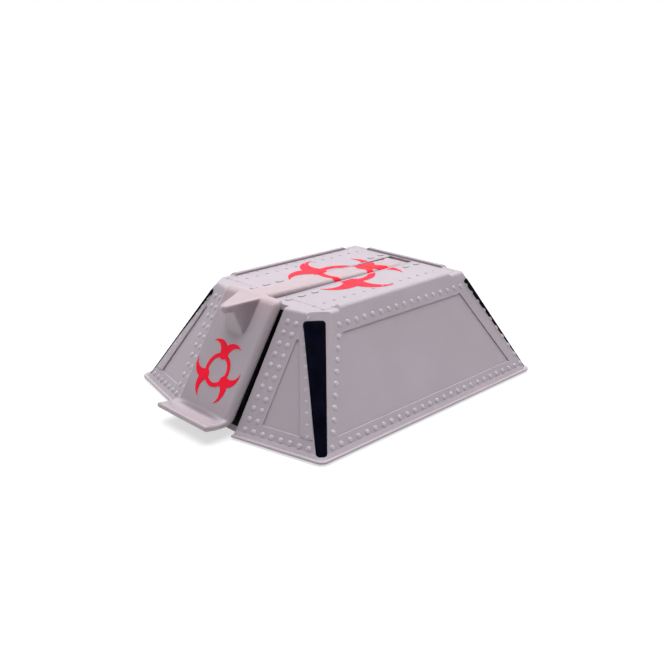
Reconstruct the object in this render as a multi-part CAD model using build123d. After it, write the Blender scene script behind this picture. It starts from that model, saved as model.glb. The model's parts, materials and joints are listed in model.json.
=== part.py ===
from build123d import *
import math
import os

# A low armoured sharps container: a casing like a cut-off pyramid with a shallow prow in front, four tapered
# corner bars, and one L-shaped lid arm that hinges at the rear of the deck. The arm's bar lies in a channel
# along the deck and its gate closes the window in the front. Behind the window a sprung flap lets a sharp
# drop into the inner bin and doesn't let a finger in.
# Millimetres. +X right, +Y rear, +Z up. The pieces are built about the middle of the casing's base, with
# heights named *_z counted from the underside of its rim. They are written about the point on the floor
# under the middle of the whole object's width and length.

# ---- driving dimensions: casing ----
foot_stand = 0.8          # the rim's underside above the floor
casing_height = 62.5      # rim's underside to the deck
base_half_width = 78.0    # wall faces at the rim's underside
base_rear_y = 89.6
base_front_y = -88.5      # where the front facets meet the side walls
deck_half_width = 45.9
deck_rear_y = 61.7
prow_slope = 0.23         # how far the front facets sweep back, per unit of width
front_lean = 0.587        # how far the front leans back, per unit of height
wall = 2.6
edge_round = 3.0          # rounding where the walls meet the deck

# ---- driving dimensions: rim, lips, panels ----
rim_height = 1.6
rim_proud = 1.5
rim_flare_z = 3.4         # where the flare above the rim meets the walls
rim_corner_radius = 5.0
rim_round = 0.7
lip_height = 1.5
lip_width = 3.6
lip_round = 1.0
lip_ramp = 4.6            # length of the slopes at the lips' ends
slot_end_gap = 0.6        # between the hinge barrel and the end of the slot that the bar lies in
lip_corner_gap = 11.0     # how far the lips stop short of the deck's corners
recess_depth = 0.6
recess_low_z = 8.5
recess_high_z = 52.0
recess_side_low = 11.0    # border between a recess and the corner, at the recess's foot and at its head
recess_side_high = 15.5

# ---- driving dimensions: corner bars ----
flat_foot = {-1: 2.9, 1: 1.1}      # half width of the flattened corners at z = 0, front (-1) and rear (1)
flat_head = {-1: 6.4, 1: 1.9}      # and at the deck
flat_shoulder = 0.3                # of the flat left bare at each side of its bar
bar_foot_z = 1.9
bar_head_z = 58.6
bar_sunk = 2.4
bar_proud = 0.4
bar_bevel = 50.0                   # degrees
bar_clearance = 0.1
bar_socket_wall = 2.0

# ---- driving dimensions: front slot and lid arm ----
slot_half_width = 24.1
gate_half_width = 22.0
gate_thickness = 6.0
gate_proud = 3.3          # gate's face in front of the facets, square to them
gate_foot_z = 1.2
gate_round = 2.8
arm_half_width = 8.3
arm_depth = 8.0
arm_round = 2.0
channel_clearance = 0.8
lift_at_rest = 1.6        # degrees that the arm stands open at rest
hinge_y = 50.5
hinge_radius = 5.0
hinge_pin_radius = 1.5
pin_running_clearance = 0.05
pin_seat_clearance = 0.02
washer_thickness = 0.6

# ---- driving dimensions: thumb tab and pull lip of the gate ----
tab_reach = 20.2
tab_half_width = 9.0
tab_tip_radius = 2.6
tab_thickness = 3.4
tab_droop = 9.0           # degrees
web_half_width = 6.0
web_drop = 18.0
pull_reach = 12.0
pull_thickness = 3.0

# ---- driving dimensions: inside ----
channel_wall = 2.0
channel_floor = 1.5
channel_floor_gap = 1.0
flange_thickness = 2.0
flange_half_width = 21.0
fit_gap = 0.3
frame_front_thickness = 2.0
frame_back_thickness = 3.0
frame_back_half_width = 31.0
window_half_width = 16.0
window_low_z = 15.0
window_high_z = 42.5
seal_margin = 1.0         # from the window's edge
seal_width = 2.2
seal_sink = 1.2
seal_clearance = 0.1       # between the seal and the gate's back when the arm is shut
flap_margin = 1.6
flap_thickness = 1.6
flap_barrel_radius = 2.4
flap_pin_radius = 1.0
flap_ear_thickness = 2.0
spring_wire = 0.45
spring_turns = 4
bin_gap = 10.8            # between the casing's faces and the bin's, square to the wall
bin_wall = 1.8
bin_floor = 2.0
bin_top_z = 46.0
bin_front_setback = 7.0   # bin's front wall behind the window frame
notch_half_width = 19.0
notch_low_z = 9.0
plate_thickness = 2.6
plate_low_z = 0.5
boss_radius = 3.6
boss_inset = 9.0
screw_radius = 1.4
screw_clearance = 0.05
screw_head_radius = 2.8
screw_head_height = 1.6
screw_length = 9.0
boss_height = 20.0
foot_radius = 6.0
foot_recess = 1.2

# ---- driving dimensions: deck panels, rivets, hazard marks ----
panel_thickness = 1.0
panel_seam = 0.25
rivet_half_length = 2.6
rivet_half_width = 1.7
rivet_head_height = 0.45
rivet_shank_radius = 1.0
rivet_x = 14.9
rivet_front_ys = (-53.0, -43.5, -33.5)
rivet_rear_ys = (43.5, 53.0)
mark_thickness = 0.5
mark_proud = 0.2
gate_mark_reach = 18.3
gate_mark_z = 24.0
deck_mark_reach = 35.0
deck_mark_y = 5.0
ring_out_share = 0.52     # of the mark's reach
ring_in_share = 0.39
lobe_root_share = 0.33
lobe_arcs = (             # each from, by way of, to: the underside of a lobe's right horn, then its back
    ((0.17, 0.44), (0.24, 0.66), (0.62, 0.78)),
    ((0.62, 0.78), (0.27, 0.885), (0.0, 0.75)),
)

# ---- worked out from the above ----
side_lean = (base_half_width - deck_half_width) / casing_height
rear_lean = (base_rear_y - deck_rear_y) / casing_height
nose_y = base_front_y - prow_slope * base_half_width
prow_cos = 1 / math.hypot(1, prow_slope)
front_cos = 1 / math.hypot(1, front_lean * prow_cos)
side_cos = 1 / math.hypot(1, side_lean)
rear_cos = 1 / math.hypot(1, rear_lean)
gate_cos = 1 / math.hypot(1, front_lean)
slot_edge_y = nose_y + prow_slope * slot_half_width
gate_face_y = slot_edge_y - gate_proud / gate_cos      # where the gate's face meets z = 0
gate_back_y = gate_face_y + gate_thickness / gate_cos
frame_face_y = gate_back_y + fit_gap
frame_step_y = frame_face_y + frame_front_thickness / gate_cos
frame_back_y = frame_step_y + frame_back_thickness / gate_cos
deck_z = casing_height
hinge_z = deck_z - hinge_radius
channel_half_width = arm_half_width + channel_clearance
channel_floor_z = hinge_z - hinge_radius - channel_floor_gap
lip_inner_x = deck_half_width - side_lean * lip_height - lip_width
lip_inner_y = deck_rear_y - rear_lean * lip_height - lip_width
far = 400.0


# ---- shared shapes ----
def leaning(y_at_zero, z):
    """The y of a plane that leans back with the front, at height z."""
    return y_at_zero + front_lean * z


def outline(z, inset=0.0):
    """Plan of the casing's faces at height z, every wall moved in by inset square to itself."""
    half_width = base_half_width - side_lean * z - inset / side_cos
    rear = base_rear_y - rear_lean * z - inset / rear_cos
    nose = leaning(nose_y, z) + inset / (prow_cos * front_cos)
    corner = nose + prow_slope * half_width
    return [
        (half_width, rear, z),
        (-half_width, rear, z),
        (-half_width, corner, z),
        (0, nose, z),
        (half_width, corner, z),
    ]


def frustum(low_z, high_z, inset=0.0):
    """The casing's shape between two heights, moved in by inset."""
    wires = [Wire.make_polygon(outline(z, inset), close=True) for z in (low_z, high_z)]
    return Solid.make_loft(wires, ruled=True)


def block(x_low, x_high, y_low, y_high, z_low, z_high):
    """A box given by its limits."""
    size = (x_high - x_low, y_high - y_low, z_high - z_low)
    middle = ((x_high + x_low) / 2, (y_high + y_low) / 2, (z_high + z_low) / 2)
    return Pos(*middle) * Box(*size)


def side_profile(points, half_width, centre_x=0.0):
    """A prism across the object from a profile of (y, z) points."""
    face = make_face(Polyline(*[(0, y, z) for y, z in points], close=True))
    prism = extrude(face, amount=half_width, dir=(1, 0, 0), both=True)
    return Pos(centre_x, 0, 0) * prism


def leaning_plate(front_y, back_y, low_z, high_z, half_width, centre_x=0.0):
    """A plate parallel to the front, between two leaning planes."""
    points = [
        (leaning(front_y, low_z), low_z),
        (leaning(back_y, low_z), low_z),
        (leaning(back_y, high_z), high_z),
        (leaning(front_y, high_z), high_z),
    ]
    return side_profile(points, half_width, centre_x)


def behind(y_at_zero):
    """Everything behind a plane that leans with the front."""
    return leaning_plate(y_at_zero, far, -far / 8, far / 4, far)


def cross_rod(radius, half_length, y, z, centre_x=0.0):
    """A round rod along X."""
    return Pos(centre_x, y, z) * Rot(0, 90, 0) * Cylinder(radius, 2 * half_length)


def upright(radius, low_z, high_z, x, y):
    """A round rod along Z."""
    return Pos(x, y, (low_z + high_z) / 2) * Cylinder(radius, high_z - low_z)


def corner_point(side, end, z):
    """Where two walls meet at height z: side -1 left, 1 right; end -1 front, 1 rear."""
    points = outline(z)
    x, y, _ = points[0] if end > 0 else points[4]
    return Vector(side * x, y, z)


def corner_inward(side, end):
    """Level direction from a corner into the casing, halfway between its walls."""
    wall_normal = Vector(side, 0, 0)
    front_normal = Vector(side * prow_slope, -1, 0).normalized()
    end_normal = Vector(0, 1, 0) if end > 0 else front_normal
    return (wall_normal + end_normal).normalized() * -1


def corner_flat(side, end):
    """The plane that flattens a corner, from its foot: x across it, y up it and z out. Gives its height too."""
    inward = corner_inward(side, end)
    sine = abs(inward.X)
    set_in = math.sqrt(1 - sine * sine) / sine
    foot = corner_point(side, end, 0) + inward * (set_in * flat_foot[end])
    head = corner_point(side, end, casing_height) + inward * (set_in * flat_head[end])
    up = (head - foot).normalized()
    across = inward.cross(Vector(0, 0, 1)).normalized()
    outward = across.cross(up).normalized()
    if outward.dot(inward) > 0:
        across = across * -1
        outward = outward * -1
    return Plane(foot, x_dir=across, z_dir=outward), (head - foot).length


def bar_outline(end, height, grow=0.0):
    """A corner bar's outline on its flat: wider at the head, with rounded ends."""
    low = bar_foot_z / casing_height
    high = bar_head_z / casing_height
    spread = flat_head[end] - flat_foot[end]
    half_low = flat_foot[end] + spread * low - flat_shoulder
    half_high = flat_foot[end] + spread * high - flat_shoulder
    face = make_face(Polyline((-half_low, low * height), (half_low, low * height),
                              (half_high, high * height), (-half_high, high * height), close=True))
    feet = face.vertices().sort_by(Axis.Y)[:2]
    face = fillet(feet, half_low * 0.75)
    heads = face.vertices().sort_by(Axis.Y)[-2:]
    face = fillet(heads, half_high * 0.3)
    return offset(face, grow, kind=Kind.ARC) if grow else face


def corner_bar(side, end):
    """A tapered bar let into a flattened corner, standing proud of it with bevelled edges."""
    flat, height = corner_flat(side, end)
    face = bar_outline(end, height)
    sunk = extrude(flat * face, amount=-bar_sunk, dir=flat.z_dir)
    proud = extrude(flat * face, amount=bar_proud, taper=bar_bevel)
    return sunk + proud


def bar_socket(side, end, grow, depth, height_out):
    """The room a corner bar takes up, grown round its outline, from depth below its flat to height_out."""
    flat, height = corner_flat(side, end)
    face = flat.offset(-depth) * bar_outline(end, height, grow)
    return extrude(face, amount=depth + height_out, dir=flat.z_dir)


corners = {
    "front_left": (-1, -1),
    "front_right": (1, -1),
    "rear_left": (-1, 1),
    "rear_right": (1, 1),
}


# ---- casing ----
def wall_recess(axis):
    """Shallow recess in the wall that faces along axis ("x+", "x-" or "y+"), with a border all round."""
    inner = frustum(recess_low_z - 4, recess_high_z + 4, recess_depth)
    outer = frustum(recess_low_z - 4, recess_high_z + 4, -1)
    skin = outer - inner
    rear_low = base_rear_y - rear_lean * recess_low_z - recess_side_low
    rear_high = base_rear_y - rear_lean * recess_high_z - recess_side_high
    if axis == "y+":
        half_low = base_half_width - side_lean * recess_low_z - recess_side_low
        half_high = base_half_width - side_lean * recess_high_z - recess_side_high
        corners_2d = [(half_low, recess_low_z), (-half_low, recess_low_z),
                      (-half_high, recess_high_z), (half_high, recess_high_z)]
        face = make_face(Polyline(*[(x, 0, z) for x, z in corners_2d], close=True))
        return skin & extrude(face, amount=far, dir=(0, 1, 0))
    sign = 1 if axis == "x+" else -1
    front_low = corner_point(1, -1, recess_low_z).Y + recess_side_low
    front_high = corner_point(1, -1, recess_high_z).Y + recess_side_high
    corners_2d = [(front_low, recess_low_z), (rear_low, recess_low_z),
                  (rear_high, recess_high_z), (front_high, recess_high_z)]
    face = make_face(Polyline(*[(0, y, z) for y, z in corners_2d], close=True))
    return skin & extrude(face, amount=far, dir=(sign, 0, 0))


def facet_recess(side):
    """Tapered recess in a front facet: wide at the foot, nearly a point at the head."""
    skin = frustum(0, casing_height, -1) - frustum(0, casing_height, recess_depth)
    low_inner = slot_half_width + 13.7
    high_inner = slot_half_width + 13.9
    low_outer = base_half_width - side_lean * recess_low_z - 12.4
    high_outer = high_inner + 1.6
    high_z = recess_high_z - 2.5
    corners_2d = [(low_inner, recess_low_z), (low_outer, recess_low_z),
                  (high_outer, high_z), (high_inner, high_z)]
    face = make_face(Polyline(*[(side * x, 0, z) for x, z in corners_2d], close=True))
    return skin & extrude(face, amount=far, dir=(0, -1, 0))


def screw_places():
    """Where the base screws stand: near each corner, clear of the bin."""
    x = base_half_width - boss_inset
    front = corner_point(1, -1, 0).Y + 27
    rear = base_rear_y - 29
    return [(sx * x, y) for sx in (-1, 1) for y in (front, rear)]


def raised_lip():
    """The rounded lip round the deck's sides and rear, which stops short of its corners."""
    lip = frustum(casing_height - 6, casing_height + lip_height)
    crown = lip.edges().filter_by(lambda e: e.center().Z > casing_height + lip_height - 0.01)
    lip = fillet(crown, edge_round)
    lip -= block(-lip_inner_x, lip_inner_x, -far, lip_inner_y, 0, far)
    gap_front = corner_point(1, -1, deck_z).Y + lip_corner_gap
    gap_rear = deck_rear_y - lip_corner_gap
    gap_side = deck_half_width - lip_corner_gap
    lip -= ramped_gap(0, far, -1, gap_front)
    for sign in (-1, 1):
        lip -= ramped_gap(sign * far, far - gap_side, 1, gap_rear)
    tops = lip.edges().filter_by(lambda e: e.center().Z > casing_height + 0.8 and is_cut_edge(e))
    return fillet(tops, lip_round)


def ramped_gap(middle_x, reach_x, end, start_y):
    """What a gap in the lip takes away: everything past start_y, with sides that spread as they rise."""
    low_z = deck_z - edge_round
    high_z = low_z + lip_ramp
    rings = []
    for spread, z in ((0, low_z), (lip_ramp, high_z)):
        near = start_y - end * spread
        half = reach_x + spread
        ring = [(middle_x - half, near, z), (middle_x + half, near, z),
                (middle_x + half, end * far, z), (middle_x - half, end * far, z)]
        rings.append(Wire.make_polygon(ring, close=True))
    below = block(middle_x - reach_x, middle_x + reach_x, *sorted((start_y, end * far)), 0, low_z)
    return below + Solid.make_loft(rings, ruled=True)


def is_cut_edge(edge):
    """Whether a lip's edge is one of those left by the cuts, on its inner side or its ends."""
    place = edge.center()
    inner = abs(abs(place.X) - lip_inner_x) < 0.01 and edge.geom_type == GeomType.LINE
    rear_inner = abs(place.Y - lip_inner_y) < 0.01 and edge.geom_type == GeomType.LINE
    return inner or rear_inner


def rim_face(z, proud):
    """The casing's plan at height z, grown by proud, with rounded corners."""
    face = make_face(Polyline(*outline(z, -proud), close=True))
    return fillet([v for v in face.vertices() if abs(v.X) > 1], rim_corner_radius)


def rim():
    """The rim round the base, and the flare that runs from it into the walls."""
    plate = extrude(rim_face(0, rim_proud * side_cos), amount=rim_height, dir=(0, 0, 1))
    edges = plate.edges().filter_by(lambda e: abs(e.tangent_at(0.5).Z) < 0.01)
    plate = fillet(edges, rim_round)
    flare = loft([rim_face(rim_height - 0.4, rim_proud * 0.55), rim_face(rim_flare_z, 0.02)], ruled=True)
    return plate + flare


def casing():
    body = frustum(0, casing_height)
    crown = body.edges().filter_by(lambda e: e.center().Z > casing_height - 0.01)
    body = fillet(crown, edge_round)
    body += raised_lip()
    for side, end in corners.values():
        flat, height = corner_flat(side, end)
        body -= flat * Pos(0, height / 2, 10) * Box(60, height + 60, 20)
    body += rim()
    body -= frustum(-1, casing_height - wall, wall)
    for side, end in corners.values():
        backing = bar_socket(side, end, bar_socket_wall, bar_sunk + bar_socket_wall, 0)
        body += backing & frustum(0.2, casing_height - wall / 2, wall / 2)
    for x, y in screw_places():
        boss = upright(boss_radius, plate_low_z + plate_thickness, boss_height, x, y)
        body += boss & frustum(0, casing_height, wall / 2)
        body -= upright(screw_radius + screw_clearance, 0, screw_length, x, y)
    for side, end in corners.values():
        body -= bar_socket(side, end, bar_clearance, bar_sunk + bar_clearance, 5)
    for axis in ("x+", "x-", "y+"):
        body -= wall_recess(axis)
    for side in (-1, 1):
        body -= facet_recess(side)
    # the front slot, and the narrow slot that the arm's bar lies in
    front_cut = side_profile(
        [(-far, -5), (leaning(frame_face_y, -5), -5),
         (leaning(frame_face_y, casing_height + 5), casing_height + 5), (-far, casing_height + 5)],
        slot_half_width,
    )
    body -= front_cut
    slot_end_y = hinge_y + hinge_radius + slot_end_gap
    body -= block(-channel_half_width, channel_half_width, -far, slot_end_y, deck_z - wall - 1, far)
    body -= panel_pocket(1) + panel_pocket(-1)
    for x, y in rivet_places():
        body -= upright(rivet_shank_radius + screw_clearance, deck_z - wall - 1, deck_z + 1, x, y)
    return body


def panel_pocket(side):
    """The shallow pocket that holds a deck panel, between the bar's slot and the lip."""
    low_x = channel_half_width + 1.2
    high_x = lip_inner_x
    front = corner_point(1, -1, deck_z).Y + lip_corner_gap - 3.5
    low, high = sorted((side * low_x, side * high_x))
    return block(low, high, front, lip_inner_y, deck_z - panel_thickness, deck_z + 1)


def rivet_places():
    """The flat oval rivets that hold the channel, in two rows beside the bar."""
    return [(side * rivet_x, y) for side in (-1, 1) for y in rivet_front_ys + rivet_rear_ys]


# ---- hazard marks ----
def hazard_face(reach):
    """Generic three-fold hazard pictogram: a ring with three forked lobes. reach is the tips' radius."""
    mark = Circle(ring_out_share * reach) - Circle(ring_in_share * reach)
    root = (0, lobe_root_share * reach)
    right = [[(x * reach, y * reach) for x, y in arc] for arc in lobe_arcs]
    left = [[(-x, y) for x, y in reversed(arc)] for arc in right]
    foot_right, foot_left = right[0][0], left[0][-1]
    lines = [ThreePointArc(foot_left, root, foot_right)]
    lines += [ThreePointArc(*right[0]), ThreePointArc(*right[1])]
    lines += [ThreePointArc(*left[1]), ThreePointArc(*left[0])]
    lobe = make_face(Wire(lines))
    for turn in (0, 120, 240):
        mark += Rot(0, 0, turn) * lobe
    return mark


def hazard_solid(reach, plane, below, above):
    """The pictogram as a thin solid about a plane."""
    face = plane.offset(-below) * hazard_face(reach)
    return extrude(face, amount=below + above, dir=plane.z_dir)


deck_mark_plane = Plane((0, deck_mark_y, deck_z), x_dir=(1, 0, 0), z_dir=(0, 0, 1))
gate_mark_plane = Plane(
    (0, leaning(gate_face_y, gate_mark_z), gate_mark_z), x_dir=(1, 0, 0), z_dir=(0, -1, front_lean)
)


def deck_mark(half, proud):
    """Part of the deck's pictogram: half -1 on the left panel, 1 on the right, 0 on the bar."""
    solid = hazard_solid(deck_mark_reach, deck_mark_plane, mark_thickness, proud)
    if half == 0:
        flat = arm_half_width - arm_round
        return solid & block(-flat, flat, -far, far, 0, far)
    low, high = sorted((half * (channel_half_width + 1.2 + panel_seam), half * far))
    return solid & block(low, high, -far, far, 0, far)


def deck_panel(side):
    """Inset deck panel with a seam round it and a pocket for its part of the mark."""
    low_x = channel_half_width + 1.2 + panel_seam
    high_x = lip_inner_x - panel_seam
    front = corner_point(1, -1, deck_z).Y + lip_corner_gap - 3.5 + panel_seam
    low, high = sorted((side * low_x, side * high_x))
    panel = block(low, high, front, lip_inner_y - panel_seam, deck_z - panel_thickness, deck_z)
    for x, y in rivet_places():
        panel -= upright(rivet_shank_radius + screw_clearance, deck_z - 3, deck_z + 1, x, y)
    return panel - deck_mark(side, 1)


# ---- lid arm, modelled shut and then lifted to its rest angle ----
def thumb_tab():
    """Triangular tab at the gate's head with a web that tapers down the gate."""
    root_y = leaning(gate_face_y, deck_z) + 3
    tip_y = leaning(gate_face_y, deck_z) - tab_reach + tab_tip_radius
    edge = Polyline((-tab_half_width, root_y), (tab_half_width, root_y),
                    (tab_tip_radius, tip_y), (-tab_tip_radius, tip_y), close=True)
    tab = extrude(make_face(edge), amount=-tab_thickness) + Pos(0, tip_y, -tab_thickness / 2) * Cylinder(
        tab_tip_radius, tab_thickness
    )
    droop = Pos(0, root_y, deck_z - 0.3) * Rot(tab_droop, 0, 0) * Pos(0, -root_y, 0)
    web = side_profile(
        [(leaning(gate_face_y, deck_z) - tab_reach * 0.45, deck_z - 5.2),
         (leaning(gate_face_y, deck_z - web_drop) + 1, deck_z - web_drop),
         (leaning(gate_face_y, deck_z) + 2, deck_z - 1.5)],
        web_half_width,
    )
    return droop * tab + web


def pull_lip():
    """Scooped lip at the gate's foot, to lift it by."""
    foot_y = leaning(gate_face_y, gate_foot_z)
    tip = foot_y - pull_reach
    points = [
        (foot_y + 3, gate_foot_z + pull_thickness + 1.4),
        (foot_y - 0.25 * pull_reach, gate_foot_z + pull_thickness - 0.6),
        (foot_y - 0.60 * pull_reach, gate_foot_z + pull_thickness - 0.8),
        (tip + 1.0, gate_foot_z + pull_thickness + 0.9),
        (tip, gate_foot_z + pull_thickness),
        (tip + 1.2, gate_foot_z + 0.8),
        (foot_y - 0.5 * pull_reach, gate_foot_z - 0.5),
        (foot_y + 3, gate_foot_z),
    ]
    return side_profile(points, gate_half_width)


def lid_arm_shut():
    gate = leaning_plate(gate_face_y, gate_back_y, gate_foot_z, deck_z, gate_half_width)
    long_edges = [e for e in gate.edges() if abs(e.tangent_at(0.5).X) < 0.01 and e.length > casing_height / 2
                  and e.center().Y < leaning((gate_face_y + gate_back_y) / 2, e.center().Z)]
    gate = fillet(long_edges, gate_round)
    bar = block(-arm_half_width, arm_half_width, leaning(gate_face_y, deck_z) + 2.5, hinge_y,
                deck_z - arm_depth, deck_z)
    top_edges = [e for e in bar.edges().filter_by(Axis.Y) if e.center().Z > deck_z - 0.1]
    bar = fillet(top_edges, arm_round)
    arm = gate + bar + cross_rod(hinge_radius, arm_half_width, hinge_y, hinge_z)
    arm += thumb_tab()
    arm += pull_lip()
    arm -= cross_rod(hinge_pin_radius + pin_running_clearance, arm_half_width + 1, hinge_y, hinge_z)
    arm -= hazard_solid(gate_mark_reach, gate_mark_plane, mark_thickness, 2)
    arm -= deck_mark(0, 1)
    return arm


def lifted(shape):
    """Turns what rides on the arm from shut to its rest angle about the hinge pin."""
    hinge = Axis((0, hinge_y, hinge_z), (-1, 0, 0))
    return shape.rotate(hinge, lift_at_rest)


# ---- hinge, channel and window ----
def arm_channel():
    """Trough under the deck that the bar lies in, with the hinge's ears and a header above the window."""
    front_y = leaning(frame_face_y, deck_z - wall)
    trough = block(-channel_half_width - channel_wall, channel_half_width + channel_wall, front_y,
                   lip_inner_y, channel_floor_z - channel_floor, deck_z - wall)
    flange = block(-flange_half_width, flange_half_width, front_y + 4, lip_inner_y - 1,
                   deck_z - wall - flange_thickness, deck_z - wall)
    header = leaning_plate(frame_face_y, frame_step_y, channel_floor_z - channel_floor,
                           deck_z - wall, slot_half_width - fit_gap)
    ears = cross_rod(hinge_radius, channel_half_width + channel_wall + 2, hinge_y, hinge_z)
    ears = ears & block(-far, far, -far, lip_inner_y, 0, deck_z - wall)
    body = trough + flange + header + ears
    body -= block(-channel_half_width, channel_half_width, -far, lip_inner_y - 0.01, channel_floor_z, far)
    body = body & behind(frame_face_y)
    body -= cross_rod(hinge_pin_radius + pin_seat_clearance, 40, hinge_y, hinge_z)
    for x, y in rivet_places():
        body -= upright(rivet_shank_radius + screw_clearance, channel_floor_z, deck_z, x, y)
    return body


def hinge_pin():
    return cross_rod(hinge_pin_radius, channel_half_width + channel_wall + 2.2, hinge_y, hinge_z)


def hinge_washers():
    gap = channel_half_width - arm_half_width
    ring = cross_rod(hinge_radius - 0.8, washer_thickness / 2, hinge_y, hinge_z)
    ring -= cross_rod(hinge_pin_radius + pin_running_clearance, 5, hinge_y, hinge_z)
    offset = arm_half_width + gap / 2
    return Compound([Pos(offset, 0, 0) * ring, Pos(-offset, 0, 0) * ring])


def window_cut(grow, front_y, back_y):
    return leaning_plate(front_y, back_y, window_low_z - grow, window_high_z + grow,
                         window_half_width + grow)


flap_high_z = window_high_z + 3.0
flap_hinge_z = flap_high_z + 1.0
flap_face_y = frame_back_y + 0.3
flap_hinge_y = leaning(flap_face_y, flap_hinge_z) + flap_barrel_radius / gate_cos
flap_half_width = window_half_width + flap_margin


def window_frame():
    """Black frame behind the gate: a plate in the slot, and a wider one behind the facets."""
    top_z = channel_floor_z - channel_floor - fit_gap
    low_z = plate_low_z + plate_thickness
    front = leaning_plate(frame_face_y, frame_step_y, low_z, top_z, slot_half_width - fit_gap)
    back = leaning_plate(frame_step_y, frame_back_y, low_z, top_z, frame_back_half_width)
    body = front + (back & frustum(0, casing_height, wall + fit_gap))
    for side in (-1, 1):
        ear = cross_rod(flap_barrel_radius, flap_ear_thickness / 2, flap_hinge_y, flap_hinge_z,
                        side * (flap_half_width + 0.4 + flap_ear_thickness / 2))
        foot = block(-flap_ear_thickness / 2, flap_ear_thickness / 2, flap_hinge_y - 4.5, flap_hinge_y,
                     flap_hinge_z - flap_barrel_radius, flap_hinge_z + flap_barrel_radius)
        ear += Pos(side * (flap_half_width + 0.4 + flap_ear_thickness / 2), 0, 0) * foot & behind(frame_back_y - 1)
        body += ear & frustum(0, top_z + 3, wall + fit_gap)
    body -= window_cut(0, frame_face_y - 5, frame_back_y + 1)
    body -= seal_ring(frame_face_y - 2)
    body -= cross_rod(flap_pin_radius + pin_seat_clearance, 40, flap_hinge_y, flap_hinge_z)
    return body


def seal_ring(front_y):
    """Rubber loop round the window, let into the frame's face and standing out to front_y."""
    back_y = frame_face_y + seal_sink / gate_cos
    outside = window_cut(seal_margin + seal_width, front_y, back_y)
    return outside - window_cut(seal_margin, front_y - 1, back_y + 1)


def intake_flap():
    """Plate that hangs behind the window on its pin and swings in."""
    low_z = window_low_z - flap_margin
    plate = leaning_plate(flap_face_y, flap_face_y + flap_thickness / gate_cos, low_z,
                          flap_high_z, flap_half_width)
    barrel = cross_rod(flap_barrel_radius, flap_half_width, flap_hinge_y, flap_hinge_z)
    neck = leaning_plate(flap_face_y, flap_face_y + flap_thickness / gate_cos, flap_high_z - 1,
                         flap_hinge_z, flap_half_width)
    body = plate + neck + barrel
    body -= cross_rod(flap_barrel_radius + 0.4, 4.2, flap_hinge_y, flap_hinge_z)
    body -= cross_rod(flap_pin_radius + pin_running_clearance, 40, flap_hinge_y, flap_hinge_z)
    return body


def flap_pin():
    return cross_rod(flap_pin_radius, flap_half_width + 0.4 + flap_ear_thickness, flap_hinge_y, flap_hinge_z)


def flap_spring():
    """Torsion spring on the flap's pin, in the gap at the middle of its barrel."""
    radius = flap_pin_radius + 0.3 + spring_wire / 2
    length = spring_turns * 1.3
    path = Helix(pitch=1.3, height=length, radius=radius)
    section = Plane(path @ 0, z_dir=path % 0) * Circle(spring_wire / 2)
    coil = sweep(section, path)
    return Pos(-length / 2, flap_hinge_y, flap_hinge_z) * Rot(0, 90, 0) * coil


# ---- bin and base ----
def inner_bin():
    """Black tub with an open top and a notch in front for the flap to swing through."""
    front_y = frame_back_y + bin_front_setback
    low_z = plate_low_z + plate_thickness
    outside = frustum(low_z, bin_top_z, bin_gap) & behind(front_y)
    inside = frustum(low_z + bin_floor, bin_top_z + 1, bin_gap + bin_wall)
    inside = inside & behind(front_y + bin_wall / gate_cos)
    notch = block(-notch_half_width, notch_half_width, -far, far, notch_low_z, bin_top_z + 1)
    front_wall = behind(front_y - 1) - behind(front_y + 2 * bin_wall)
    return outside - inside - (notch & front_wall)


def base_plate():
    body = frustum(plate_low_z, plate_low_z + plate_thickness, wall + fit_gap) & behind(frame_face_y)
    for side, end in corners.values():
        body -= bar_socket(side, end, bar_socket_wall + fit_gap, bar_sunk + bar_socket_wall + fit_gap, 5)
    for x, y in screw_places():
        body -= upright(screw_radius + screw_clearance, -1, 9, x, y)
        body -= upright(screw_head_radius + screw_clearance, -1, plate_low_z + screw_head_height, x, y)
    for x, y in foot_places():
        body -= upright(foot_radius, -1, plate_low_z + foot_recess, x, y)
    return body


def foot_places():
    x = base_half_width - 22
    return [(-x, -62.0), (x, -62.0), (-x, base_rear_y - 22), (x, base_rear_y - 22)]


def foot(place):
    pad = upright(foot_radius, -foot_stand, plate_low_z + foot_recess, *place)
    edge = pad.edges().sort_by(Axis.Z)[0]
    return chamfer(edge, 0.5)


def base_screws():
    screws = []
    for x, y in screw_places():
        head = upright(screw_head_radius, plate_low_z + 0.1, plate_low_z + screw_head_height, x, y)
        shank = upright(screw_radius, plate_low_z + screw_head_height, screw_length - 0.5, x, y)
        screws.append(head + shank)
    return Compound(screws)


def channel_rivets():
    """Flat oval heads on the deck, each on a shank through the deck and the channel's flange."""
    made = []
    for x, y in rivet_places():
        head = Pos(x, y, deck_z) * extrude(Ellipse(rivet_half_width, rivet_half_length), amount=rivet_head_height)
        rim_edge = head.edges().sort_by(Axis.Z)[-1]
        head = fillet(rim_edge, rivet_head_height * 0.6)
        shank = upright(rivet_shank_radius, deck_z - wall - flange_thickness, deck_z, x, y)
        made.append(head + shank)
    return Compound(made)


# ---- the assembly ----
nodes = {
    "outer_shell": casing(),
    "deck_panel_left": deck_panel(-1),
    "deck_panel_right": deck_panel(1),
    "deck_hazard_inlay_left": deck_mark(-1, mark_proud),
    "deck_hazard_inlay_right": deck_mark(1, mark_proud),
    "channel_rivets": channel_rivets(),
    "lid_arm": lifted(lid_arm_shut()),
    "gate_hazard_inlay": lifted(hazard_solid(gate_mark_reach, gate_mark_plane, mark_thickness, mark_proud)),
    "bar_hazard_inlay": lifted(deck_mark(0, mark_proud)),
    "arm_channel": arm_channel(),
    "hinge_pin": hinge_pin(),
    "hinge_washers": hinge_washers(),
    "window_frame": window_frame(),
    "gate_seal": seal_ring(gate_back_y + seal_clearance),
    "intake_flap": intake_flap(),
    "flap_pin": flap_pin(),
    "flap_spring": flap_spring(),
    "inner_bin": inner_bin(),
    "base_plate": base_plate(),
    "base_screws": base_screws(),
}
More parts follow.
